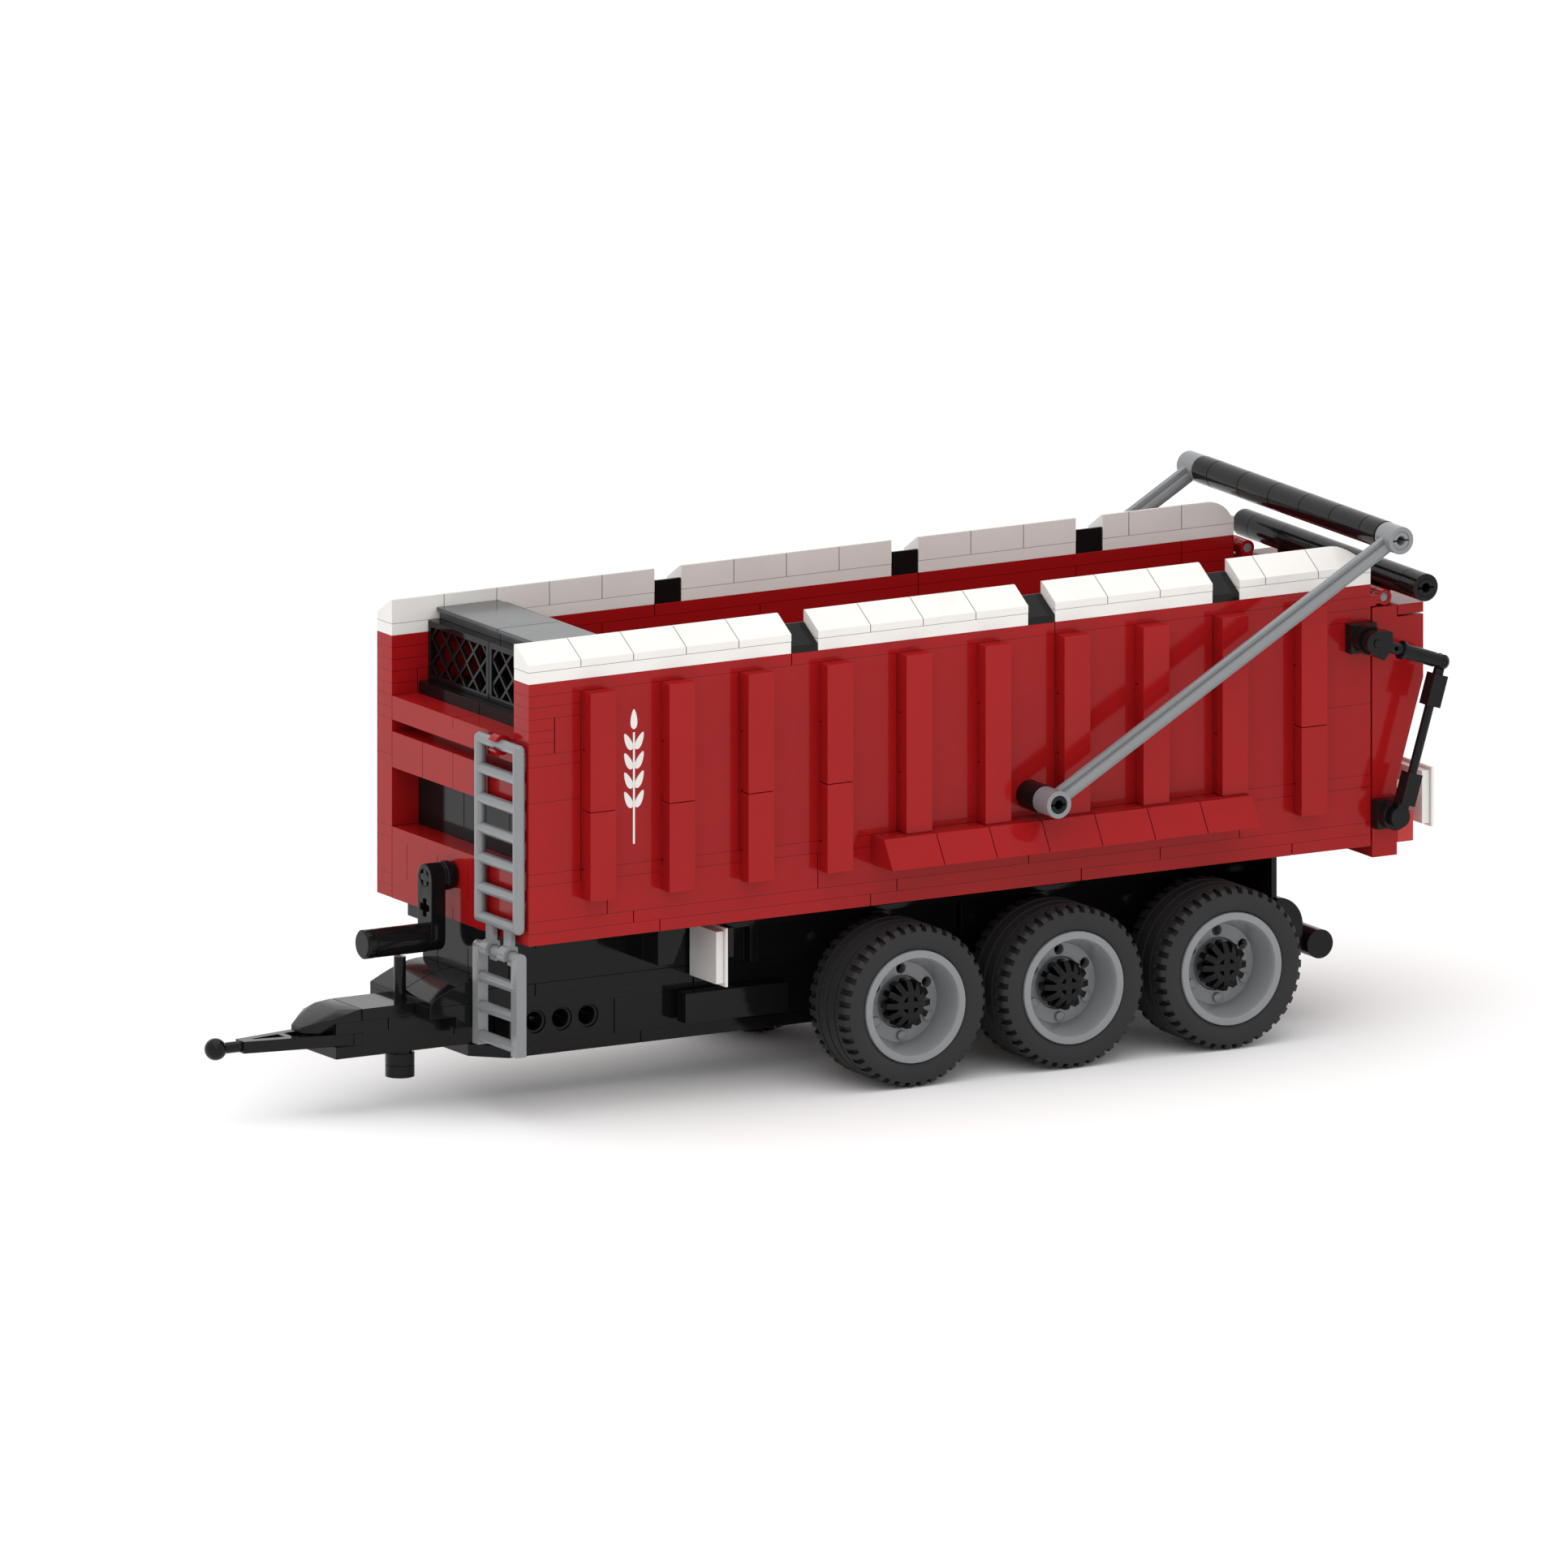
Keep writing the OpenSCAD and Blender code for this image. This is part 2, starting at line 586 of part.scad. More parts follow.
module rim_gap_pieces()
  color(black) both_sides() for (g = gaps)
    difference() {
      end_prism(slope_outline(top_z), [g * stud + seam, (g + 1) * stud - seam]);
      translate([x_front - (g + 1) * stud + 1.1, half_w - 1.2, top_z + slope_lip + 0.3])
        rotate([32.5, 0, 0]) translate([0, -8, -0.5]) cube([0.7, 7, 2]);
    }

// ---- Front box ----

box_z = row_z(4);
box_u = [stud, (1 + front_box) * stud + 3];
lattice_u = 11;
rail = 1.7;
module lattice_panel(y0) {
  t = 1.5;
  edge = 1.4;
  y = [y0 + seam, y0 + 4 * stud - seam];
  z = [box_z, box_z + lattice_h];
  difference() {
    block([lattice_u, lattice_u + t], y, z);
    block([lattice_u - 1, lattice_u + t + 1], y + [edge, -edge], z + [rail, -rail]);
  }
  // Crossed slats
  intersection() {
    block([lattice_u + 0.3, lattice_u + t - 0.3], y + [edge - 0.1, 0.1 - edge], z + [rail - 0.1, 0.1 - rail]);
    union() for (lean = [-1, 1]) for (k = [-3 : 3])
      translate([x_front - lattice_u - t, (y[0] + y[1]) / 2 + k * 7.3 + 3.6, (z[0] + z[1]) / 2])
        rotate([lean * 45, 0, 0]) translate([0, -0.42, -20]) cube([t, 0.84, 40]);
  }
  // Cap over the panel
  block([lattice_u + t, cap_u + 1.6], y, [z[1] - rail, z[1]]);
}
cap_u = 14.4;
module lattice()
  color(black) both_sides() lattice_panel(0);
module front_box_base()
  color(black) {
    cross_course([stud, 3 * stud], 1, body_wide - 1, 4, 0, [row_z(5), box_z]);
    cross_course([3 * stud, box_u[1]], 1, body_wide - 1, 4, 0, [row_z(5), box_z]);
    // Rear wall of the box
    cross_course([box_u[1] - stud, box_u[1]], 1, body_wide - 1, 2, 0, [box_z, box_z + lattice_h]);
  }
module front_box_roof()
  color("#3c3e40") {
    z = [box_z + lattice_h, box_z + lattice_h + plate];
    back_u = box_u[1] - 2.6;
    cross_course([cap_u, back_u], 1, body_wide - 1, 4, 0, z);
    cross_course([cap_u - 0.9, cap_u + 0.2], 1, body_wide - 1, 4, 0, [z[1] - 1.1, z[1]]);
    cross_course([back_u, box_u[1]], 1, body_wide - 1, 8, 0, [z[0], z[1] - 0.8]);
  }

// ---- Ladder ----

ladder_out = bar_r + 0.3;
rung_top = row_z(5) - 1.8;
fold_z = rung_top - 7 * rung;
stile_y = half_w - ladder_w / 2;
stile_half = ladder_w / 2 - bar_r;
module rungs(from, count)
  for (k = [0 : count - 1])
    rod_y(-ladder_out, from - k * rung, stile_y - 0.3 - stile_half, stile_y - 0.3 + stile_half, bar_r - 0.05);
module stile(side, z0, z1)
  rod_z(-ladder_out, stile_y - 0.3 + side * stile_half, z0, z1, bar_r);
clip_y = [stile_y - 6.2, stile_y + 3.2];
module ladder_upper()
  color(grey) {
    difference() {
      union() {
        rungs(rung_top, 7);
        for (s = [-1, 1]) {
          stile(s, rung_top - 6 * rung, rung_top);
          for (z = [rung_top, rung_top - 6 * rung])
            translate([x_front + ladder_out, stile_y - 0.3 + s * stile_half, z]) sphere(r = bar_r);
        }
        for (y = clip_y) {
          block([-ladder_out - 0.8, -ladder_out + 0.8], [y, y + 3.4], [fold_z + 1.5, fold_z + rung - 0.8]);
          rod_y(-ladder_out, fold_z, y, y + 3.4, 2.9);
        }
      }
      for (y = clip_y) rod_y(-ladder_out, fold_z, y - 0.6, y + 4, bar_r + 0.03);
      // Mouths of the two clips, and a flat that keeps them off the chassis
      block([-ladder_out - 4, -ladder_out + 0.4], [clip_y[0] - 1, clip_y[1] + 5], [fold_z - 4, fold_z - 1.1]);
      block([-0.25, 2], [0, half_w], [fold_z - 4, fold_z + 5]);
    }
  }
module ladder_lower()
  color(grey) {
    rungs(fold_z, 4);
    for (s = [-1, 1]) {
      y = stile_y - 0.3 + s * stile_half;
      block([-ladder_out - 1.5, -ladder_out + 1.5], [y - 1.5, y + 1.5],
        [fold_z - 3 * rung - 2.3, fold_z]);
      rod_y(-ladder_out, fold_z, y - 1.5, y + 1.5, 1.5);
    }
  }

// ---- Crank ----

module crank_axle()
  color(black) translate([x_front - 22, 0, crank_z]) rotate([0, 90, 0]) cross_axle(30.4);
module crank_bushes()
  color(black) difference() {
    union() {
      rod_u(-4.1, -0.3, 0, crank_z, tube_r);
      rod_u(-3.2, -1.4, 0, crank_z, tube_r + 0.25);
      rod_u(2 * stud + 0.3, 2 * stud + 4.3, 0, crank_z, tube_r);
    }
    rod_u(-9, 22, 0, crank_z, axle_r + 0.03);
  }
module crank_arm()
  color(black) difference() {
    union() {
      rod_u(-8.5, -4.2, 0, crank_z, tube_r);
      rod_u(-8.5, -4.2, 0, crank_z - 2 * stud, tube_r);
      block([-8.5, -4.2], [-tube_r, tube_r], [crank_z - 2 * stud, crank_z]);
    }
    for (k = [0, 2]) rod_u(-9, -4, 0, crank_z - k * stud, axle_r + 0.03);
    translate([x_front + 3, 0, crank_z - stud]) rotate([0, 90, 0]) scale(1.03) cross_axle(7);
  }
module crank_handle() {
  z = crank_z - 2 * stud;
  color(black) {
    difference() {
      union() {
        rod_u(-8.55 - handle_l + 3.2, -8.55, 0, z, stud / 2 - 0.15);
        rod_u(-8.55 - handle_l + 0.4, -8.55 - handle_l + 2.6, 0, z, stud / 2 - 0.1);
        rod_u(-8.55 - handle_l, -8.55, 0, z, stud / 2 - 0.55);
      }
      rod_u(-16, -8, 0, z, axle_r + 0.03);
    }
    translate([x_front + 4.3, 0, z]) rotate([0, 90, 0]) cross_axle(11);
  }
}

// ---- Wheels ----

function axle_u(n) = axle_last - (axles - n) * axle_pitch;
module on_axle(n) translate([x_front - axle_u(n), 0, axle_z]) children();
hub_out = wheel_y + rim_w / 2 - 2.7;
gear_t = 6;
// A twelve-tooth double-bevel gear along +Z
module hub_gear() {
  root_r = 3.9;
  tip_r = 6.6;
  difference() {
    union() {
      cylinder(h = gear_t, r = root_r);
      intersection() {
        union() for (k = [0 : 11]) rotate([0, 0, k * 30]) translate([0, -0.8, 0]) cube([tip_r, 1.6, gear_t]);
        rotate_extrude($fn = 48) polygon([[0, 0], [root_r + 0.3, 0], [tip_r, 1.4], [tip_r, gear_t - 1.4],
          [root_r + 0.3, gear_t], [0, gear_t]]);
      }
    }
    translate([0, 0, -1]) cylinder(h = gear_t + 2, r = axle_r + 0.03);
  }
}
module axle_shaft(n)
  color(black) on_axle(n) {
    translate([0, -hub_out, 0]) rotate([-90, 0, 0]) cross_axle(2 * hub_out);
    both_sides() {
      translate([0, hub_out, 0]) rotate([90, 0, 0]) hub_gear();
      // Spacer between the wheel and the chassis
      translate([0, chassis_half + 0.3, 0]) rotate([-90, 0, 0]) difference() {
        cylinder(h = wheel_y - rim_w / 2 - chassis_half - 0.6 + 2, r = tube_r);
        translate([0, 0, -1]) cylinder(h = 40, r = axle_r + 0.03);
      }
    }
  }
rim_r = rim_d / 2;
module wheel_rim() {
  w = rim_w / 2;
  web = w - 2.7 - gear_t - 0.7;
  difference() {
    rotate_extrude() polygon([[axle_r + 0.03, -w + 2.4], [axle_r + 0.03, web], [tube_r + 3.2, web],
      [tube_r + 3.4, web + 1.4], [rim_r - 4.4, web + 1.4], [rim_r - 2.6, w - 1], [rim_r - 2, w],
      [rim_r - 0.2, w], [rim_r, w - 0.4], [rim_r, w - 1.8], [rim_r - 1, w - 2.4],
      [rim_r - 1, -w + 2.4], [rim_r, -w + 1.8], [rim_r, -w + 0.4], [rim_r - 0.2, -w],
      [rim_r - 2, -w], [rim_r - 2.8, web - 1.6], [tube_r + 1.2, web - 1.6], [tube_r, web - 3],
      [tube_r, -w + 2.4]]);
    for (k = [-1 : 1]) rotate([0, 0, 60 * k - 90]) translate([9, 0, -w]) cylinder(h = 2 * w, r = 1.4);
  }
}
module tyre() {
  w = tyre_w / 2;
  difference() {
    rotate_extrude($fn = 96) polygon([[rim_r + 0.05, -w + 2.6], [rim_r + 0.05, w - 2.6], [rim_r + 0.15, w - 0.8],
      [rim_r + 1, w - 0.25], [tyre_r - 3.4, w], [tyre_r - 1, w - 0.3], [tyre_r, w - 1.6],
      [tyre_r, w - 5.2], [tyre_r - 1, w - 5.3], [tyre_r - 1, w - 6.3], [tyre_r, w - 6.4],
      [tyre_r, -w + 6.4], [tyre_r - 1, -w + 6.3], [tyre_r - 1, -w + 5.3], [tyre_r, -w + 5.2],
      [tyre_r, -w + 1.6], [tyre_r - 1, -w + 0.3], [tyre_r - 3.4, -w], [rim_r + 1, -w + 0.25],
      [rim_r + 0.15, -w + 0.8]]);
  }
}
module axle_rims(n)
  color(grey) on_axle(n) both_sides() translate([0, wheel_y, 0]) rotate([-90, 0, 0]) wheel_rim();
module axle_tyres(n)
  color("#1c1c1c") on_axle(n) both_sides() translate([0, wheel_y, 0]) rotate([-90, 0, 0]) tyre();
module axle_1_shaft() axle_shaft(1);
module axle_2_shaft() axle_shaft(2);
module axle_3_shaft() axle_shaft(3);
module axle_1_rims() axle_rims(1);
module axle_2_rims() axle_rims(2);
module axle_3_rims() axle_rims(3);
module axle_1_tyres() axle_tyres(1);
module axle_2_tyres() axle_tyres(2);
module axle_3_tyres() axle_tyres(3);

// ---- Cover bow ----

bow_l = bow_studs * stud;
bow_u = pivot_u + bow_l * cos(bow_rest);
bow_z = pivot_z + bow_l * sin(bow_rest);
bow_y = [half_w + stud + 0.3, half_w + 2 * stud];
module bow_pivots()
  color(black) both_sides() {
    difference() {
      rod_y(pivot_u, pivot_z, half_w + 0.02, half_w + stud, tube_r + 0.2);
      rod_y(pivot_u, pivot_z, half_w - 1, half_w + stud + 1, hole_r);
    }
    // Split pin that carries the bow's connector
    difference() {
      rod_y(pivot_u, pivot_z, half_w - stud + 0.5, half_w + 2 * stud - 0.2, axle_r);
      rod_y(pivot_u, pivot_z, half_w + stud, half_w + 2 * stud + 1, 1.25);
      block([pivot_u - 3, pivot_u + 3], [half_w + 2 * stud - 4.4, half_w + 2 * stud + 1],
        [pivot_z - 0.25, pivot_z + 0.25]);
    }
  }
module bow_connectors()
  color(grey) both_sides() {
    tube_y(pivot_u, pivot_z, bow_y[0], bow_y[1], tube_r, hole_r);
    tube_y(bow_u, bow_z, bow_y[0], bow_y[1], tube_r, hole_r);
  }
module bow_arms()
  color(grey) both_sides() difference() {
    translate([x_front - pivot_u, half_w + 1.5 * stud, pivot_z]) rotate([0, -90 + bow_rest, 0])
      translate([0, 0, 2.6]) cross_axle(bow_l - 5.2);
    rod_y(pivot_u, pivot_z, half_w, half_w + 3 * stud, tube_r + 0.02);
    rod_y(bow_u, bow_z, half_w, half_w + 3 * stud, tube_r + 0.02);
  }
module bow_roller() {
  ends = half_w + stud;
  c = concat([-ends, -ends + stud], [for (k = [1 : body_wide / 2]) -ends + stud + 2 * stud * k], [ends]);
  color(black) for (i = [0 : len(c) - 2])
    tube_y(bow_u, bow_z, c[i] + seam, c[i + 1] - seam, tube_r + 0.1, hole_r);
}
module bow_core()
  color(grey) difference() {
    rod_y(bow_u, bow_z, -half_w - 2 * stud + 0.2, half_w + 2 * stud - 0.2, axle_r);
    both_sides() {
      rod_y(bow_u, bow_z, half_w + stud, half_w + 2 * stud + 1, 1.25);
      block([bow_u - 3, bow_u + 3], [half_w + 2 * stud - 4.4, half_w + 2 * stud + 1],
        [bow_z - 0.25, bow_z + 0.25]);
    }
  }

// ---- Tailgate ----

module hinge_pins()
  color(grey) both_sides() rod_y(hinge_u, hinge_z, half_w - stud + 0.5, half_w - 0.6, 1.2);

gate_low = tub_z;
step_z = [row_z(8), row_z(wall_rows - 5)];
module gate_panel() {
  u = [gate_face - seam, body_l + gate_studs * stud];
  thin = [gate_face - seam, body_l + stud];
  w = body_wide;
  color(red) {
    // Top plates with the hinge knuckles, and the tiles behind them
    difference() {
      union() {
        brick_at(thin, [-half_w, -stud], [row_z(3), gate_top]);
        brick_at(thin, [-stud, stud], [row_z(3), gate_top]);
        brick_at(thin, [stud, half_w], [row_z(3), gate_top]);
        both_sides() {
          rod_y(hinge_u, hinge_z, half_w - stud + 0.4, barrel_y[0] - 0.3, hinge_r);
          block([hinge_u - 1.7, hinge_u + 1.7], [half_w - stud + 0.4, barrel_y[0] - 0.3],
            [gate_top - 0.4, hinge_z]);
        }
      }
      rod_y(hinge_u, hinge_z, -half_w, half_w, 1.25);
    }
    cross_course([body_l + stud, u[1]], 0, w, 4, 3, [row_z(3) + 0.5, gate_top]);
    cross_course(u, 0, w, 6, 4, [row_z(4), row_z(3)]);
    cross_course(u, 0, w, 4, 1, [row_z(7), row_z(4)]);
    cross_course(u, 0, w, 6, 2, [row_z(8), row_z(7)]);
    // Inverted slopes down the back
    for (k = [0 : w / 2 - 1])
      side_prism([[u[0] + seam, step_z[0]], [u[1] - seam, step_z[0]], [u[1] - seam, step_z[0] - 1],
        [body_l + stud, step_z[1] + 1], [body_l + stud, step_z[1]], [u[0] + seam, step_z[1]]],
        [k * 2 * stud - half_w + seam, (k + 1) * 2 * stud - half_w - seam]);
    cross_course(thin, 0, w, 4, 3, [row_z(wall_rows - 2), row_z(wall_rows - 5)]);
    cross_course(thin, 0, w, 6, 2, [row_z(wall_rows - 1), row_z(wall_rows - 2)]);
    cross_course(thin, 0, w, 8, 1, [row_z(wall_rows), row_z(wall_rows - 1)]);
    // Lip under the gate
    cross_course(thin, 0, w, 4, 1, [tub_z - plate, tub_z]);
  }
}
lamp_u = body_l + stud;
module gate_lamps()
  both_sides() {
    color(black) block([lamp_u, lamp_u + leaf], [half_w - 2 * stud + seam, half_w - seam],
      [tub_z + seam, tub_z + stud]);
    color("#b01818") for (k = [1, 2])
      block([lamp_u + leaf, lamp_u + leaf + plate], [half_w - k * stud + seam, half_w - (k - 1) * stud - seam],
        [tub_z + seam, tub_z + stud - seam]);
  }
marker_z = row_z(wall_rows - 1);
module gate_markers()
  both_sides() {
    marker_tile(body_l + 2 * stud - 0.1, [half_w - 2 * stud + seam, half_w - seam],
      [marker_z, marker_z + 2 * stud]);
    color(black) rod_u(body_l + stud, body_l + 2 * stud, half_w - stud, marker_z + stud + 1.4, 2.4);
  }
module gate_roller() {
  ends = half_w + stud - 0.2;
  c = concat([-ends, -half_w], [for (k = [1 : body_wide / 2]) -half_w + 2 * stud * k], [ends]);
  color(black) {
    for (i = [0 : len(c) - 2])
      tube_y(roller_u, roller_z, c[i] + seam, c[i + 1] - seam, tube_r, hole_r);
    both_sides() difference() {
      block([body_l + stud + 0.4, roller_u + 3], [2 * stud + seam, 3 * stud - seam],
        [gate_top, roller_z - 0.6]);
      rod_y(roller_u, roller_z, 0, half_w, tube_r + 0.03);
    }
  }
  color(grey) difference() {
    rod_y(roller_u, roller_z, -ends, ends, axle_r);
    both_sides() {
      rod_y(roller_u, roller_z, half_w, half_w + 2 * stud, 1.25);
      block([roller_u - 3, roller_u + 3], [ends - 4.4, ends + 1], [roller_z - 0.25, roller_z + 0.25]);
    }
  }
}

// ---- Tailgate rams ----

module pad(u, z)
  both_sides() {
    color(red) block([u - stud / 2 + seam, u + stud / 2 - seam], [half_w + 0.02, half_w + plate],
      [z - stud / 2 + seam, z + stud / 2 - seam]);
    color(black) rod_y(u, z, half_w + plate, half_w + 2 * plate, stud / 2 - seam);
  }
module ram_pads() {
  pad(ram_u1, ram_z1);
  color(black) both_sides() rod_y(ram_u1, ram_z1, half_w + 2 * plate, ram_y + 1.9, 1);
}
module gate_pads() pad(ram_u2, ram_z2);
// Places its children at one ram point, with +X along the ram towards the other
module along(u0, z0, u1, z1)
  translate([x_front - u0, ram_y, z0])
    rotate([0, atan2(-(z1 - z0), -(u1 - u0)), 0]) children();
link_l = norm([elbow_u - ram_u1, elbow_z - ram_z1]);
rod_l = norm([elbow_u - ram_u2, elbow_z - ram_z2]);
// Depth and slot of the elbow, and the rod's eye in it
eye_t = 1.5;
eye_gap = 0.3;
module ram_link()
  color(black) difference() {
    union() {
      along(ram_u1, ram_z1, elbow_u, elbow_z) {
        // Claw at the wall, then bar, collar and the thicker tube
        translate([0, -1.6, 0]) rotate([-90, 0, 0]) cylinder(h = 3.2, r = 3.1);
        translate([0, 1.6, 0]) rotate([90, 0, 0]) linear_extrude(3.2)
          polygon([[-1, 3.1], [2.4, 3.9], [3.6, 3.9], [4.6, 1.4], [4.6, -1.4], [3.6, -3.9],
            [2.4, -3.9], [-1, -3.1]]);
        translate([2, 0, 0]) rotate([0, 90, 0]) cylinder(h = link_l - 2, r = bar_r);
        translate([8.4, 0, 0]) rotate([0, 90, 0]) cylinder(h = 1, r = 2.5);
        translate([9.4, 0, 0]) rotate([0, 90, 0]) cylinder(h = link_l - 9.4, r = rod_r);
      }
      translate([x_front - elbow_u, ram_y, elbow_z]) sphere(r = ball);
    }
    rod_y(ram_u1, ram_z1, ram_y - 4, ram_y + 4, 1.08);
    // Slot in the elbow for the rod's eye, its pin hole, and the small hole in the bar
    rod_y(elbow_u, elbow_z, ram_y - eye_t / 2 - eye_gap, ram_y + eye_t / 2 + eye_gap, ball + 0.6);
    rod_y(elbow_u, elbow_z, ram_y - 3, ram_y + 3, 0.75);
    along(ram_u1, ram_z1, elbow_u, elbow_z)
      translate([6.2, -3, 0]) rotate([-90, 0, 0]) cylinder(h = 6, r = 0.6);
  }
module ram_rod()
  color(black) {
    along(elbow_u, elbow_z, ram_u2, ram_z2) {
      translate([0, -eye_t / 2, 0]) rotate([-90, 0, 0]) cylinder(h = eye_t, r = 1.9);
      translate([0, -eye_t / 2, -1.2]) cube([4, eye_t, 2.4]);
      translate([3.4, -2.1, -2.1]) cube([8.6, 4.2, 4.2]);
      translate([11.9, 0, 0]) rotate([0, 90, 0]) cylinder(h = rod_l - 24, r = bar_r - 0.35);
      translate([rod_l - 12.2, -2.1, -2.1]) cube([8.6, 4.2, 4.2]);
      translate([rod_l - 4, -1.6, -1.6]) cube([3, 1.7, 3.2]);
      difference() {
        translate([rod_l, -1.6, 0]) rotate([-90, 0, 0]) cylinder(h = 1.7, r = 2.8);
        translate([rod_l, -2.6, 0]) rotate([-90, 0, 0]) cylinder(h = 2, r = 0.8);
      }
    }
    rod_y(elbow_u, elbow_z, ram_y - rod_r, ram_y + rod_r, 0.7);
  }
module ram_link_left() ram_link();
module ram_link_right() mirror([0, 1, 0]) ram_link();
module ram_rod_left() ram_rod();
module ram_rod_right() mirror([0, 1, 0]) ram_rod();

// ---- Draw ----

spine_upper();
spine_lower();
side_channels();
mudguard_rear();
bumper_bar();
side_rails();
marker_brackets();
front_markers();
drawbar_plates();
drawbar_frame();
tow_ball();
drawbar_nose();
drawbar_slopes();
jack_leg();
floor_plates();
wall_left();
wall_right();
front_wall();
front_liner();
ribs_left();
ribs_right();
skirt_left();
skirt_right();
rim_plates();
rim_slopes();
rim_gap_pieces();
lattice();
front_box_base();
front_box_roof();
ladder_upper();
ladder_lower();
crank_axle();
crank_bushes();
crank_arm();
crank_handle();
axle_1_shaft();
axle_2_shaft();
axle_3_shaft();
axle_1_rims();
axle_2_rims();
axle_3_rims();
axle_1_tyres();
axle_2_tyres();
axle_3_tyres();
bow_pivots();
bow_connectors();
bow_arms();
bow_roller();
bow_core();
hinge_pins();
gate_panel();
gate_lamps();
gate_markers();
gate_roller();
ram_pads();
gate_pads();
ram_link_left();
ram_link_right();
ram_rod_left();
ram_rod_right();
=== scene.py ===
import bpy
import bmesh
import json
import math
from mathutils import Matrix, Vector


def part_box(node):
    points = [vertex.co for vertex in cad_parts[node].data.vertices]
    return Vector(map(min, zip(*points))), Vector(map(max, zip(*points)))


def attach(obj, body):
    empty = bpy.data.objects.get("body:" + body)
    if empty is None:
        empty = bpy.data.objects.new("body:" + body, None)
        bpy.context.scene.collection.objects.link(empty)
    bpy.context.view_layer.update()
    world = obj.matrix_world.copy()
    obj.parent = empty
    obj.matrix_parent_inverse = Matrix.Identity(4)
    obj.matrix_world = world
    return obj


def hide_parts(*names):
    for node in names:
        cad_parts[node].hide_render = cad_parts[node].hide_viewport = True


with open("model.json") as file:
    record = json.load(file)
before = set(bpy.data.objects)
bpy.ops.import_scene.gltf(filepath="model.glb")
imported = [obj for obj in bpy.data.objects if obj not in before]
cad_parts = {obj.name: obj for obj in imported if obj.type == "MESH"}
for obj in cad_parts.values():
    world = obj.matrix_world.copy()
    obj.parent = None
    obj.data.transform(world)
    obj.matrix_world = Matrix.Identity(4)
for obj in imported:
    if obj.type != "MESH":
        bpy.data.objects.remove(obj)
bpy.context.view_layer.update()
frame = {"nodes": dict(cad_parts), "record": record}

# ---------------------------------------------------------------- sizes, in metres
MM = 0.001
STUD = 8 * MM                                # brick grid along and across
PLATE = 3.2 * MM                             # brick grid upwards
SEAM = 0.1 * MM                              # what each brick gives up to the seam beside it
wall_lo, wall_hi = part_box("wall_left")
FRONT = wall_hi.x + SEAM                     # front end of the side walls
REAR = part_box("rim_plates")[0].x - SEAM      # rear end of the bed
HALF_W = wall_hi.y + SEAM                    # outer face of the side walls
TOP = wall_hi.z
BED = wall_lo.z                              # underside of the bed
WALL_PLATES = round((TOP - BED) / PLATE)

WELD = 0.002 * MM                            # points this near become one
ROUND = 0.14 * MM                            # rounded edge of a brick
ROUND_FROM = 32                              # degrees between the faces of an edge that is rounded
SHARP_FROM = 50                              # degrees past which shading breaks at an edge

# ---------------------------------------------------------------- materials
ROW_HALF = 0.08 * MM                         # half the height of a joint between courses
ROW_SHADE = 0.62                             # how much darker it is
GAP_REACH = 0.5 * MM                         # faces this near each other get painted shade in their colour
FLOW = (0.3, 0.7)                            # the useful range of the flow noise
FLOW_TONE = 0.03                             # how far flow marks change the tone


def node(tree, kind, sockets=None, **settings):
    """A new node. A socket takes a plain value or another node's output."""
    new = tree.nodes.new(kind)
    for name, value in settings.items():
        setattr(new, name, value)
    for name, value in (sockets or {}).items():
        if isinstance(value, bpy.types.NodeSocket):
            tree.links.new(value, new.inputs[name])
        else:
            new.inputs[name].default_value = value
    return new


def maths(tree, operation, *values):
    return node(tree, "ShaderNodeMath", dict(enumerate(values)), operation=operation).outputs[0]


def rescale(tree, value, start, end):
    """value, moved from the range start to the range end."""
    limits = {"Value": value, "From Min": start[0], "From Max": start[1], "To Min": end[0], "To Max": end[1]}
    return node(tree, "ShaderNodeMapRange", limits).outputs["Result"]


def row_lines(tree, place, rows):
    """1 on the joints between courses. A row is its height, and where it starts and ends along X."""
    xyz = node(tree, "ShaderNodeSeparateXYZ", {0: place}).outputs
    lines = None
    for z, x0, x1 in rows:
        near = maths(tree, "COMPARE", xyz["Z"], z, ROW_HALF)
        inside = maths(tree, "COMPARE", xyz["X"], (x0 + x1) / 2, (x1 - x0) / 2)
        line = maths(tree, "MULTIPLY", near, inside)
        lines = line if lines is None else maths(tree, "MAXIMUM", lines, line)
    return lines


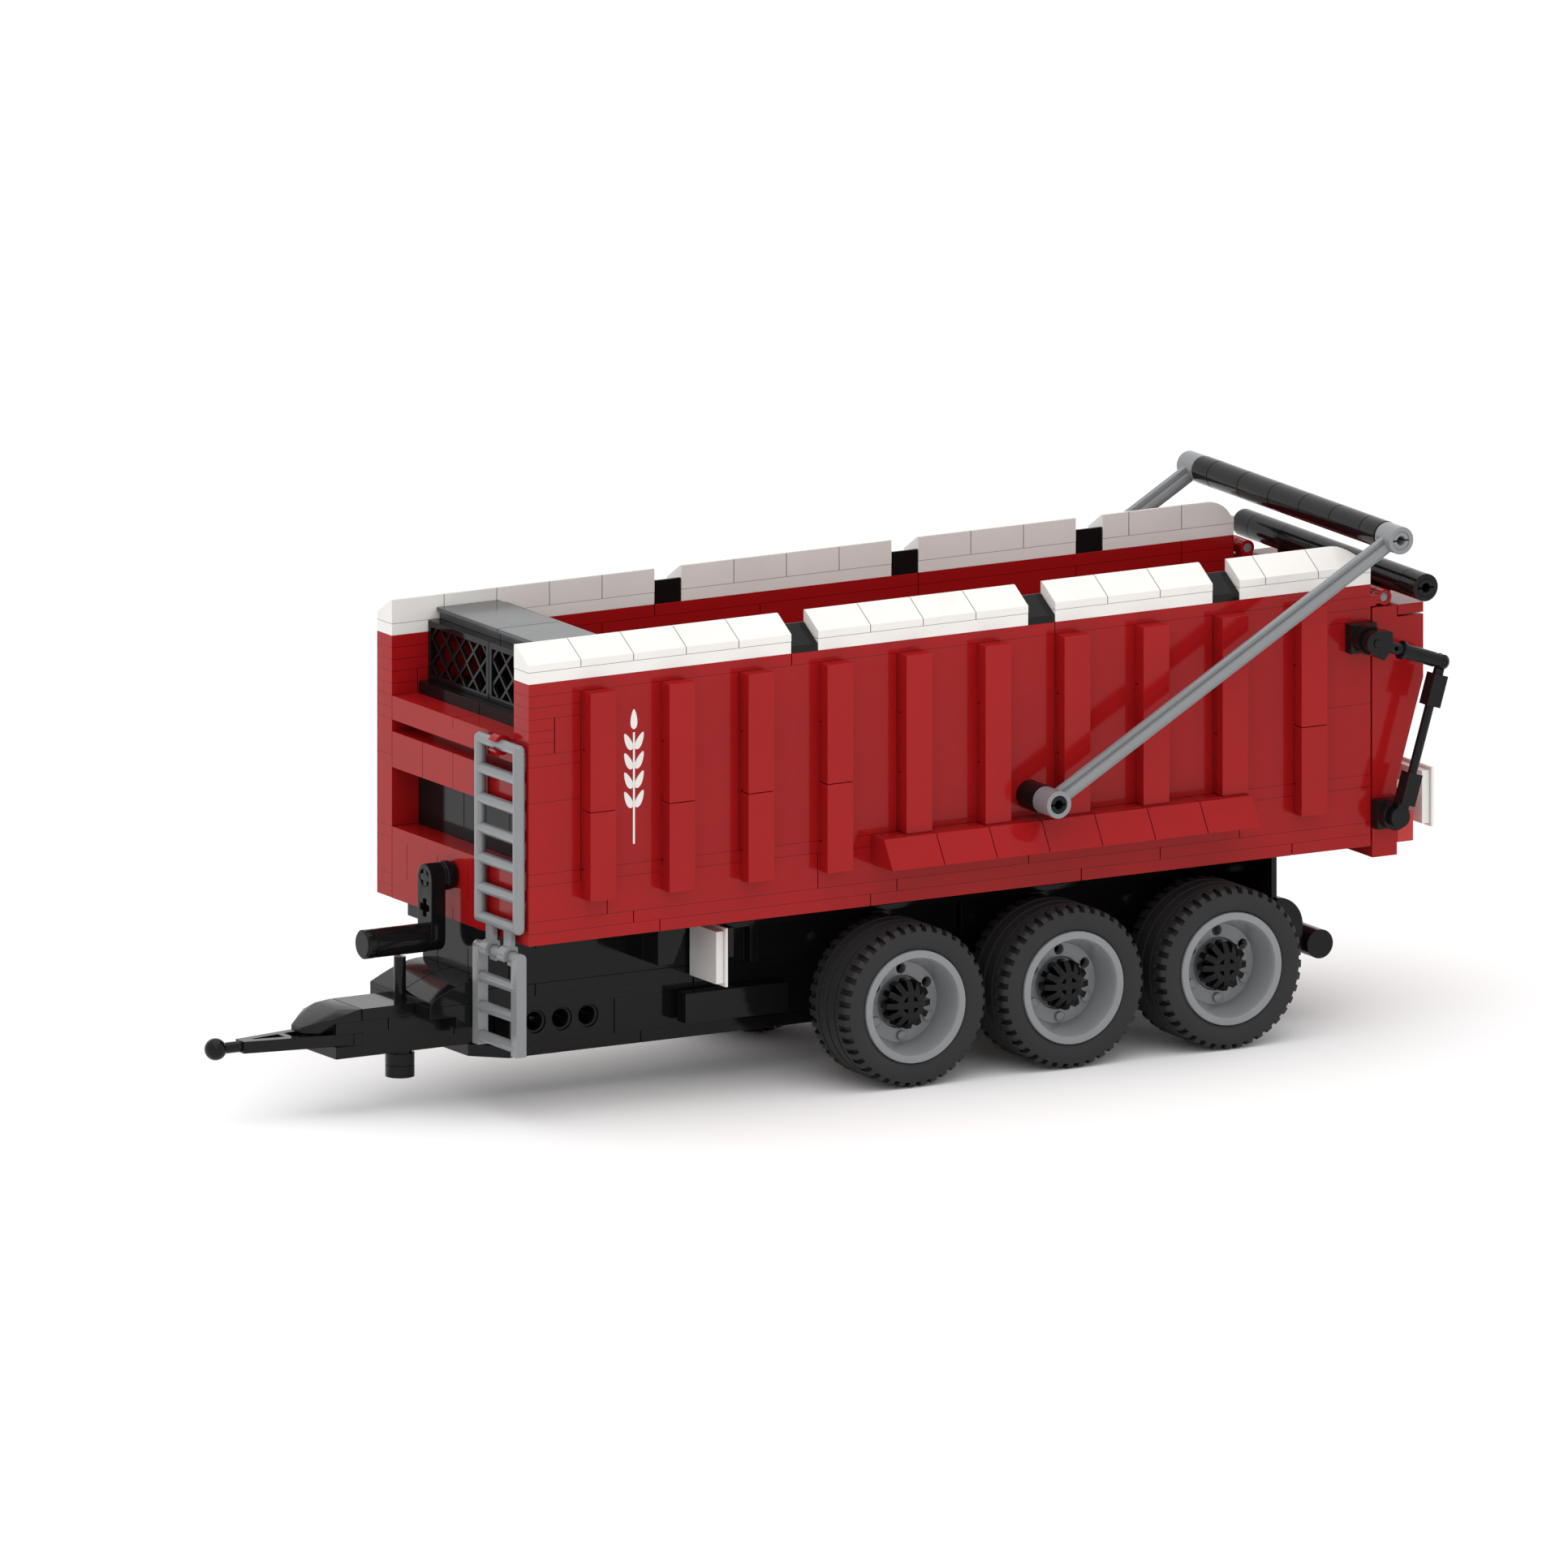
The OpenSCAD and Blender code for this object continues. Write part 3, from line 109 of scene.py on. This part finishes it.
def plastic(name, rgb, rough, spread, per_brick, skin=0.012, grain=900.0, specular=0.5, rows=()):
    """Moulded plastic: a tone per brick, flow marks in colour and gloss, painted shade in gaps and corners, a
    faint skin.
    """
    material = bpy.data.materials.new(name)
    material.use_nodes = True
    tree = material.node_tree
    tree.nodes.clear()
    place = node(tree, "ShaderNodeTexCoord").outputs["Object"]
    flow = node(tree, "ShaderNodeTexNoise",
                {"Vector": place, "Scale": 55.0, "Detail": 4.0, "Roughness": 0.55, "Distortion": 0.4})
    fine = node(tree, "ShaderNodeTexNoise",
                {"Vector": place, "Scale": grain, "Detail": 3.0, "Roughness": 0.6})
    island = node(tree, "ShaderNodeNewGeometry").outputs["Random Per Island"]
    near = node(tree, "ShaderNodeAmbientOcclusion", {"Distance": GAP_REACH}, samples=6, only_local=True)

    brick = rescale(tree, island, (0, 1), (1 - per_brick, 1 + per_brick))
    marks = rescale(tree, flow.outputs["Fac"], FLOW, (1 - FLOW_TONE, 1 + FLOW_TONE))
    # painted shade: the colour is darkened where faces are near each other, in gaps, seams and inside corners
    painted_gap_shade = rescale(tree, near.outputs["AO"], (0.25, 0.8), (0.3, 1.0))
    tone = maths(tree, "MULTIPLY", maths(tree, "MULTIPLY", brick, marks), painted_gap_shade)
    if rows:
        kept = maths(tree, "MULTIPLY_ADD", row_lines(tree, place, rows), -ROW_SHADE, 1.0)
        tone = maths(tree, "MULTIPLY", tone, kept)

    colour = node(tree, "ShaderNodeHueSaturation", {"Color": (*rgb, 1), "Value": tone})
    gloss = rescale(tree, flow.outputs["Fac"], FLOW, (rough - spread, rough + spread))
    bump = node(tree, "ShaderNodeBump",
                {"Strength": skin, "Distance": 0.4 * MM, "Height": fine.outputs["Fac"]})
    shader = node(tree, "ShaderNodeBsdfPrincipled",
                  {"Base Color": colour.outputs["Color"], "Roughness": gloss,
                   "Normal": bump.outputs["Normal"], "IOR": 1.53, "Specular IOR Level": specular})
    node(tree, "ShaderNodeOutputMaterial", {"Surface": shader.outputs["BSDF"]})
    return material


def linear(*srgb):
    """An 0 to 255 screen colour as the linear one that shaders take."""
    shares = [value / 255 for value in srgb]
    return tuple(s / 12.92 if s <= 0.04045 else ((s + 0.055) / 1.055) ** 2.4 for s in shares)


def wall_rows():
    """Joints of a side wall's courses: along it, at its front columns and at its rear."""
    spans = (((1, WALL_PLATES - 6, WALL_PLATES - 5, WALL_PLATES - 2, WALL_PLATES - 1), REAR, FRONT),
             ((2, 3, 6, 7, 10), FRONT - 2 * STUD, FRONT),
             ((4, 5), FRONT - STUD, FRONT),
             ((2, 3, 10), REAR, REAR + 2 * STUD))
    return [(TOP - n * PLATE, x0, x1) for plates, x0, x1 in spans for n in plates]


def spine_rows():
    """Joints between the courses of the chassis, counted down from the bed."""
    return [(BED - n * PLATE, REAR, FRONT + STUD) for n in (1, 2, 5, 6, 7, 10)]


def rim_rows():
    """The joint between the rim's plates and its slopes."""
    return [(TOP + PLATE, REAR - STUD, FRONT)]


RED_LOOK = dict(rgb=linear(152, 20, 22), rough=0.11, spread=0.025, per_brick=0.04, specular=0.16)
BLACK_LOOK = dict(rgb=linear(18, 18, 19), rough=0.1, spread=0.025, per_brick=0.08, specular=0.16)
RED = plastic("red_plastic", **RED_LOOK)
RED_WALL = plastic("red_wall_plastic", rows=wall_rows(), **RED_LOOK)
BLACK = plastic("black_plastic", **BLACK_LOOK)
BLACK_SPINE = plastic("black_spine_plastic", rows=spine_rows(), **BLACK_LOOK)
WHITE = plastic("white_plastic", linear(228, 225, 221), rough=0.14, spread=0.03, per_brick=0.012,
                rows=rim_rows())
GREY = plastic("grey_plastic", linear(124, 126, 128), rough=0.16, spread=0.03, per_brick=0.03)
DARK = plastic("dark_grey_plastic", linear(62, 64, 66), rough=0.22, spread=0.04, per_brick=0.05)
LENS = plastic("clear_red_plastic", linear(180, 10, 10), rough=0.08, spread=0.03, per_brick=0.03)
RUBBER = plastic("tyre_rubber", linear(38, 38, 39), rough=0.6, spread=0.08, per_brick=0.0, skin=0.12,
                 grain=2600.0, specular=0.25)

BY_SLOT = {"red_brick": RED, "black_brick": BLACK, "white_brick": WHITE, "grey_brick": GREY,
           "dark_grey_brick": DARK, "clear_red": LENS, "tyre": RUBBER}
BY_NODE = {"wall_left": RED_WALL, "wall_right": RED_WALL,
           "spine_upper": BLACK_SPINE, "spine_lower": BLACK_SPINE}


def finish_in(thing, material):
    thing.data.materials.clear()
    thing.data.materials.append(material)


# ---------------------------------------------------------------- CAD nodes: finish and rounded edges
def sharp_by_angle():
    """Geometry nodes that mark each edge over SHARP_FROM degrees as sharp."""
    tree = bpy.data.node_groups.new("sharp_by_angle", "GeometryNodeTree")
    for way in ("INPUT", "OUTPUT"):
        tree.interface.new_socket("Geometry", in_out=way, socket_type="NodeSocketGeometry")
    whole = node(tree, "NodeGroupInput")
    angle = node(tree, "GeometryNodeInputMeshEdgeAngle").outputs["Unsigned Angle"]
    sharp = maths(tree, "GREATER_THAN", angle, math.radians(SHARP_FROM))
    marked = node(tree, "GeometryNodeSetShadeSmooth",
                  {"Geometry": whole.outputs[0], "Selection": sharp, "Shade Smooth": False}, domain="EDGE")
    node(tree, "NodeGroupOutput", {0: marked.outputs["Geometry"]})
    return tree


def bevel(thing, width, segments, degrees):
    edge = thing.modifiers.new("edge", "BEVEL")
    edge.width = width
    edge.segments = segments
    edge.limit_method = "ANGLE"
    edge.angle_limit = math.radians(degrees)
    return edge


def soften(thing, sharp_group):
    """Small rounded edges; large faces keep their own flat shading."""
    weld = thing.modifiers.new("weld", "WELD")
    weld.merge_threshold = WELD
    bevel(thing, ROUND, 2, ROUND_FROM)
    thing.modifiers.new("sharp", "NODES").node_group = sharp_group
    normals = thing.modifiers.new("normals", "WEIGHTED_NORMAL")
    normals.mode = "FACE_AREA"
    normals.weight = 90
    normals.keep_sharp = True


def finish_nodes():
    sharp_group = sharp_by_angle()
    slots = {part["node"]: part["material_slot"] for part in frame["record"]["subparts"]}
    for name, thing in frame["nodes"].items():
        finish_in(thing, BY_NODE.get(name) or BY_SLOT[slots[name]])
        thing.data.polygons.foreach_set("use_smooth", [True] * len(thing.data.polygons))
        soften(thing, sharp_group)


# ---------------------------------------------------------------- pieces
def mesh_piece(name, verts, faces, material, body, smooth=True):
    """A piece made of verts and faces, which rides on body and takes the given material."""
    mesh = bpy.data.meshes.new(name)
    mesh.from_pydata(verts, [], faces)
    shape = bmesh.new()
    shape.from_mesh(mesh)
    bmesh.ops.remove_doubles(shape, verts=shape.verts, dist=WELD / 2)
    bmesh.ops.dissolve_degenerate(shape, edges=shape.edges, dist=WELD / 2)
    bmesh.ops.recalc_face_normals(shape, faces=shape.faces)
    shape.to_mesh(mesh)
    shape.free()
    mesh.polygons.foreach_set("use_smooth", [smooth] * len(mesh.polygons))
    piece = bpy.data.objects.new(name, mesh)
    bpy.context.collection.objects.link(piece)
    finish_in(piece, material)
    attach(piece, body)
    return piece


def on_circle(radius, i, count):
    """Point i of count, round a circle."""
    angle = 2 * math.pi * i / count
    return radius * math.cos(angle), radius * math.sin(angle)


def round_peg(verts, faces, place, profile, segments):
    """Adds a round peg with a closed top. profile is (radius, height) points; place puts a point in space."""
    row = len(verts)
    for radius, height in profile:
        verts += [place(*on_circle(radius, i, segments), height) for i in range(segments)]
    for _ in profile[1:]:
        for i in range(segments):
            j = (i + 1) % segments
            faces.append((row + i, row + j, row + segments + j, row + segments + i))
        row += segments
    faces.append(tuple(range(row, row + segments)))


NOTCHES = 40                 # shoulder notches round each tyre edge
NOTCH_SHARE = 0.46           # part of the pitch that is cut away
NOTCH_DEPTH = 1.25 * MM
TYRE_HALF = 10.2 * MM        # half of one tyre's width
TYRE_FIT = 0.06 * MM         # clear of the rim
TYRE_INSIDE = 0.005 * MM     # inside the CAD tyre's own radius


def tyre_section(r_in, r_out, cut):
    """Closed section of one tyre: outer edge to middle, then mirrored. A cut lowers the shoulder."""
    half = TYRE_HALF
    shoulder = r_out - (NOTCH_DEPTH if cut else 0)
    groove = r_out - 0.8 * MM
    side = [(r_in, half - 2.6 * MM), (r_in + 0.1 * MM, half - 0.8 * MM), (r_in + 1 * MM, half - 0.25 * MM),
            (r_out - 3.4 * MM, half), (r_out - 1.35 * MM, half - 0.12 * MM),
            (shoulder - 0.35 * MM, half - 0.75 * MM), (shoulder, half - 1.4 * MM),
            (shoulder, half - 4.3 * MM), (r_out, half - 4.35 * MM), (r_out, half - 5.5 * MM),
            (groove, half - 5.6 * MM), (groove, half - 6.3 * MM),
            (r_out, half - 6.4 * MM), (r_out, 0.55 * MM), (groove, 0.4 * MM)]
    return side + [(radius, -y) for radius, y in reversed(side)]


def tyre_sections(r_in, r_out):
    """(angle, section) round the tyre: five to a notch, two of them where it steps down."""
    step = 2 * math.pi / NOTCHES
    whole, cut = (tyre_section(r_in, r_out, lowered) for lowered in (False, True))
    sections = []
    for i in range(NOTCHES):
        start = i * step
        drop = (i + 1 - NOTCH_SHARE) * step
        sections += [(start, whole), ((start + drop) / 2, whole), (drop, whole),
                     (drop, cut), (start + step, cut)]
    return sections


def turned(sections, centre, side):
    """Sections of (radius, y) points turned round the Y axis through centre."""
    count = len(sections[0][1])
    verts = [(centre.x + radius * math.cos(angle), centre.y + side * y, centre.z + radius * math.sin(angle))
             for angle, section in sections for radius, y in section]
    faces = []
    for i in range(len(sections)):
        here = i * count
        there = (i + 1) % len(sections) * count
        for k in range(count):
            m = (k + 1) % count
            faces.append((here + k, here + m, there + m, there + k))
    return verts, faces


def tyres(k):
    """Both tyres of axle k, with notched shoulders and grooves."""
    lo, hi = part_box("axle_%d_tyres" % k)
    rim_lo, rim_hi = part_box("axle_%d_rims" % k)
    sections = tyre_sections((rim_hi.z - rim_lo.z) / 2 + TYRE_FIT, (hi.z - lo.z) / 2 - TYRE_INSIDE)
    verts, faces = [], []
    for side in (-1, 1):
        centre = Vector(((lo.x + hi.x) / 2, side * (hi.y - TYRE_HALF), (lo.z + hi.z) / 2))
        more_verts, more_faces = turned(sections, centre, side)
        faces += [tuple(len(verts) + corner for corner in face) for face in more_faces]
        verts += more_verts
    piece = mesh_piece("tyre_tread_%d" % k, verts, faces, RUBBER, "wheels_%d" % k)
    bevel(piece, 0.1 * MM, 1, 35).harden_normals = True
    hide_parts("axle_%d_tyres" % k)


WEB_DEPTH = 8.0 * MM         # rim's outer edge to the face of its web
PEG_CIRCLE = 9.0 * MM        # radius that the pegs stand on
PEG = ((1.35 * MM, 0.0), (1.35 * MM, 0.6 * MM), (1.29 * MM, 0.74 * MM), (1.15 * MM, 0.8 * MM))


def rim_pegs(k):
    """Three low pegs on the lower half of each rim's web."""
    lo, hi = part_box("axle_%d_rims" % k)
    verts, faces = [], []
    for side in (-1, 1):
        y = side * (hi.y - WEB_DEPTH)
        for degrees in (210, 270, 330):
            x = (lo.x + hi.x) / 2 + PEG_CIRCLE * math.cos(math.radians(degrees))
            z = (lo.z + hi.z) / 2 + PEG_CIRCLE * math.sin(math.radians(degrees))

            def place(across, up, out):
                return x + across, y + side * out, z + up

            round_peg(verts, faces, place, PEG, 28)
    mesh_piece("rim_pegs_%d" % k, verts, faces, GREY, "wheels_%d" % k)


BED_FIRST, BED_LAST = 4, 1   # rows of studs left out at the front, under the box, and at the rear
BED_WIDE = 8                 # studs across the bed
BED_STUD = ((2.4 * MM, -0.02 * MM), (2.4 * MM, 1.55 * MM), (2.33 * MM, 1.66 * MM), (2.2 * MM, 1.7 * MM))


def bed_studs():
    """Studs on the bed's plates, between the front liner and the tailgate."""
    lo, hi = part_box("floor_plates")
    verts, faces = [], []
    for i in range(BED_FIRST, round((hi.x - lo.x) / STUD) - BED_LAST):
        x = hi.x - (i + 0.5) * STUD
        for j in range(BED_WIDE):
            y = (j + 0.5 - BED_WIDE / 2) * STUD

            def place(along, across, up):
                return x + along, y + across, hi.z + up

            round_peg(verts, faces, place, BED_STUD, 24)
    mesh_piece("bed_studs", verts, faces, RED, "tub")


EAR_U = 4 * STUD             # ear of grain: its middle, behind the front
EAR_BASE = TOP - 46 * MM     # and its foot
EAR_PROUD = 0.02 * MM        # the print's middle, off the wall
STALK_HALF, STALK_LONG = 0.3 * MM, 30 * MM


def leaf_outline(u, z, length, width, degrees):
    """A leaf that is wider below, turned by degrees, as (u, z) points."""
    turn = math.radians(degrees)
    points = 20
    outline = []
    for i in range(points):
        t = 2 * math.pi * i / points
        across = math.sin(t) * width / 2 * (1 - 0.35 * math.cos(t))
        along = math.cos(t) * length / 2
        outline.append((u + across * math.cos(turn) - along * math.sin(turn),
                        z + across * math.sin(turn) + along * math.cos(turn)))
    return outline


def ear_of_grain(side, name):
    """A plain ear of grain printed on the wall between the first two ribs."""
    outlines = []
    for i in range(4):
        z = EAR_BASE + (12 + 5.2 * i) * MM
        for lean in (-1, 1):
            outlines.append(leaf_outline(EAR_U + lean * 1.75 * MM, z, 5.0 * MM, 1.9 * MM, -lean * 26))
    outlines.append(leaf_outline(EAR_U, EAR_BASE + 33.5 * MM, 5.4 * MM, 2.0 * MM, 0))
    u0, u1, z0, z1 = EAR_U - STALK_HALF, EAR_U + STALK_HALF, EAR_BASE, EAR_BASE + STALK_LONG
    outlines.append([(u0, z0), (u1, z0), (u1, z1), (u0, z1)])
    verts, faces = [], []
    for outline in outlines:
        faces.append(tuple(range(len(verts), len(verts) + len(outline))))
        verts += [(FRONT - u, side * (HALF_W + EAR_PROUD), z) for u, z in outline]
    piece = mesh_piece(name, verts, faces, WHITE, "tub", smooth=False)
    thick = piece.modifiers.new("thick", "SOLIDIFY")
    thick.thickness = 0.03 * MM
    thick.offset = 0


finish_nodes()
for axle in (1, 2, 3):
    tyres(axle)
    rim_pegs(axle)
bed_studs()
ear_of_grain(1, "grain_motif_left")
ear_of_grain(-1, "grain_motif_right")

# ---------------------------------------------------------------- studio
FLOOR_SIZE = 12
FLOOR_Z = -0.2 * MM
FLOOR_GREY = 0.93
LIT = Vector((0, 0, 0.07))   # what the lamps point at


def studio_world():
    bpy.context.scene.view_settings.view_transform = "Standard"
    world = bpy.context.scene.world or bpy.data.worlds.new("studio")
    bpy.context.scene.world = world
    world.use_nodes = True
    background = world.node_tree.nodes["Background"]
    background.inputs["Color"].default_value = (1, 1, 1, 1)
    background.inputs["Strength"].default_value = 1.0


def studio_floor():
    bpy.ops.mesh.primitive_plane_add(size=FLOOR_SIZE, location=(0, 0, FLOOR_Z))
    floor = bpy.context.object
    floor.name = "studio_floor"
    material = bpy.data.materials.new("studio_floor")
    material.use_nodes = True
    shader = material.node_tree.nodes["Principled BSDF"]
    shader.inputs["Base Color"].default_value = (FLOOR_GREY, FLOOR_GREY, FLOOR_GREY, 1)
    shader.inputs["Roughness"].default_value = 1.0
    finish_in(floor, material)


def lamp(name, place, size, watts):
    """A square area lamp that points at the model."""
    data = bpy.data.lights.new(name, "AREA")
    data.size = size
    data.energy = watts
    thing = bpy.data.objects.new(name, data)
    bpy.context.collection.objects.link(thing)
    thing.location = place
    thing.rotation_mode = "QUATERNION"
    thing.rotation_quaternion = (LIT - thing.location).to_track_quat("-Z", "Y")


studio_world()
studio_floor()
lamp("top", (0.1, 0.15, 1.5), 1.6, 8)
lamp("key", (0.6, 1.0, 0.9), 0.7, 1.4)

# ---------------------------------------------------------------- camera
VIEW_WIDTH = 0.4125          # metres across the picture; the photo has no perspective
AZIMUTH, ELEVATION = math.radians(150), math.radians(12)
AIM = Vector((-0.625 * MM, 0, 73.6 * MM))
AWAY = 1.2


def photo_camera():
    camera = bpy.data.objects.new("camera", bpy.data.cameras.new("camera"))
    bpy.context.collection.objects.link(camera)
    bpy.context.scene.camera = camera
    camera.data.type = "ORTHO"
    camera.data.ortho_scale = VIEW_WIDTH
    back = Vector((math.sin(AZIMUTH) * math.cos(ELEVATION), -math.cos(AZIMUTH) * math.cos(ELEVATION),
                   math.sin(ELEVATION)))
    camera.location = AIM + back * AWAY
    camera.rotation_mode = "QUATERNION"
    camera.rotation_quaternion = (-back).to_track_quat("-Z", "Y")
    camera.data.clip_start = 0.05
    camera.data.clip_end = 20


photo_camera()
